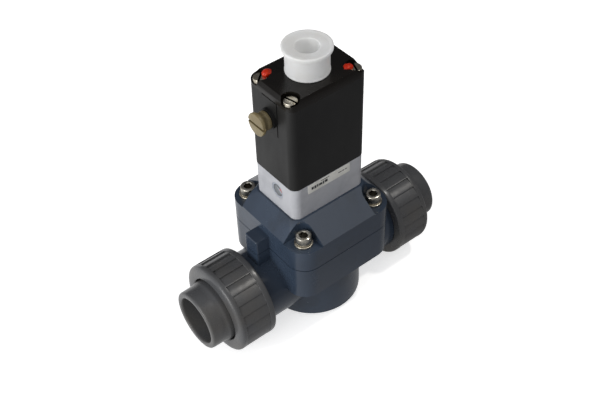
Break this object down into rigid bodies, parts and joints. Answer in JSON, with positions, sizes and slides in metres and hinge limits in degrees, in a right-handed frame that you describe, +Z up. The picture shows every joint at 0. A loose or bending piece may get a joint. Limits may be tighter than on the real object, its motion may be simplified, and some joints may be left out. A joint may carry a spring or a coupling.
{
  "type": "diaphragm valve",
  "caption": "Pilot-operated plastic diaphragm valve with union ends for pipe, black coil housing, milky pilot body with indicator, side override knob and capped plug socket.",
  "frame": {"origin": "under the middle of the valve, on the surface that its union nuts stand on", "axes": "+X along the pipe from inlet to outlet, +Z up, the labelled face looks along -Y, the override knob along -X"},
  "size_m": [0.1908, 0.0772, 0.2008],
  "materials": {
    "valve_pvc": "satin moulded rigid PVC, blue-grey",
    "union_pvc": "glossy moulded rigid PVC, dark grey",
    "brass": "machined",
    "epdm": "matt black rubber",
    "stainless": "turned stainless steel",
    "nickel": "nickel-plated steel",
    "pilot_plastic": "milky, slightly see-through plastic",
    "housing_black": "satin black moulded resin",
    "knob_beige": "satin beige plastic",
    "cap_white": "waxy white polyethylene",
    "seal_red": "glossy red sealing lacquer",
    "hand_black": "matt black",
    "hand_red": "matt red",
    "window_clear": "clear plastic pane",
    "label_paper": "printed silver film",
    "magnet_steel": "zinc-plated soft iron",
    "copper_wire": "enamelled copper wire",
    "bobbin_nylon": "natural nylon",
    "support_plastic": "white PVDF"
  },
  "bodies": {
    "valve": {"valve_body": "valve_pvc", "foot_inserts": "brass", "bonnet_inserts": "brass", "channel_seal": "epdm", "union_seal_inlet": "epdm", "union_seal_outlet": "epdm", "bonnet": "valve_pvc", "bonnet_washers": "stainless", "bonnet_screws": "stainless", "coil_screw_inserts": "brass", "main_diaphragm": "epdm", "main_spring": "stainless", "pilot_body": "pilot_plastic", "pilot_diaphragm": "epdm", "pilot_retainer": "support_plastic", "pilot_seals": "epdm", "indicator_window": "window_clear", "rating_label": "label_paper", "coil_housing": "housing_black", "override_panel": "housing_black", "shaft_seal": "epdm", "yoke_frame": "magnet_steel", "yoke_plate": "magnet_steel", "coil_bobbin": "bobbin_nylon", "coil_winding": "copper_wire", "guide_tube": "stainless", "fixed_core": "magnet_steel", "core_nut": "nickel", "plunger_spring": "stainless", "housing_lid": "housing_black", "lid_gasket": "epdm", "coil_screws": "nickel", "tamper_seals": "seal_red", "plug_collar": "housing_black", "contact_pins": "brass"},
    "main_disc": {"diaphragm_plate": "support_plastic", "seat_disc": "epdm", "centre_screw": "stainless"},
    "plunger": {"plunger": "magnet_steel", "pull_rod": "stainless"},
    "override": {"override_knob": "knob_beige", "override_shaft": "stainless"},
    "indicator": {"indicator_hand_black": "hand_black", "indicator_hand_red": "hand_red", "indicator_shaft": "stainless"},
    "cap": {"transport_cap": "cap_white"},
    "inlet_end": {"union_end_inlet": "union_pvc"},
    "inlet_nut": {"union_nut_inlet": "union_pvc"},
    "outlet_end": {"union_end_outlet": "union_pvc"},
    "outlet_nut": {"union_nut_outlet": "union_pvc"}
  },
  "joints": [
    {"name": "override_turn", "type": "hinge", "parent": "valve", "child": "override", "pos_m": [-0.03, 0, 0.1629], "axis": [1, 0, 0], "range_deg": [0, 90]},
    {"name": "plunger_lift", "type": "slide", "parent": "valve", "child": "plunger", "axis": [0, 0, 1], "range_m": [0, 0.002], "deforming": ["plunger_spring", "pilot_diaphragm"]},
    {"name": "indicator_turn", "type": "hinge", "parent": "valve", "child": "indicator", "pos_m": [-0.0165, -0.0029, 0.107], "axis": [1, 0, 0], "range_deg": [0, 25.5]},
    {"name": "main_lift", "type": "slide", "parent": "valve", "child": "main_disc", "axis": [0, 0, 1], "range_m": [0, 0.005], "stiffness_N_per_m": 1500, "springref_m": -0.004, "deforming": ["main_spring", "main_diaphragm"]},
    {"name": "cap_pull", "type": "slide", "parent": "valve", "child": "cap", "axis": [0, 0, 1], "range_m": [0, 0.03]},
    {"name": "inlet_end_pull", "type": "slide", "parent": "valve", "child": "inlet_end", "axis": [-1, 0, 0], "range_m": [0, 0.03]},
    {"name": "inlet_nut_turn", "type": "hinge", "parent": "inlet_end", "child": "inlet_nut", "pos_m": [-0.067, 0, 0.031], "axis": [-1, 0, 0], "continuous": true},
    {"name": "outlet_end_pull", "type": "slide", "parent": "valve", "child": "outlet_end", "axis": [1, 0, 0], "range_m": [0, 0.03]},
    {"name": "outlet_nut_turn", "type": "hinge", "parent": "outlet_end", "child": "outlet_nut", "pos_m": [0.067, 0, 0.031], "axis": [1, 0, 0], "continuous": true}
  ],
  "couplings": [
    {"joint": "override_turn", "follows": "plunger_lift", "rad_per_m": 785.4},
    {"joint": "indicator_turn", "follows": "plunger_lift", "rad_per_m": 218.17}
  ]
}
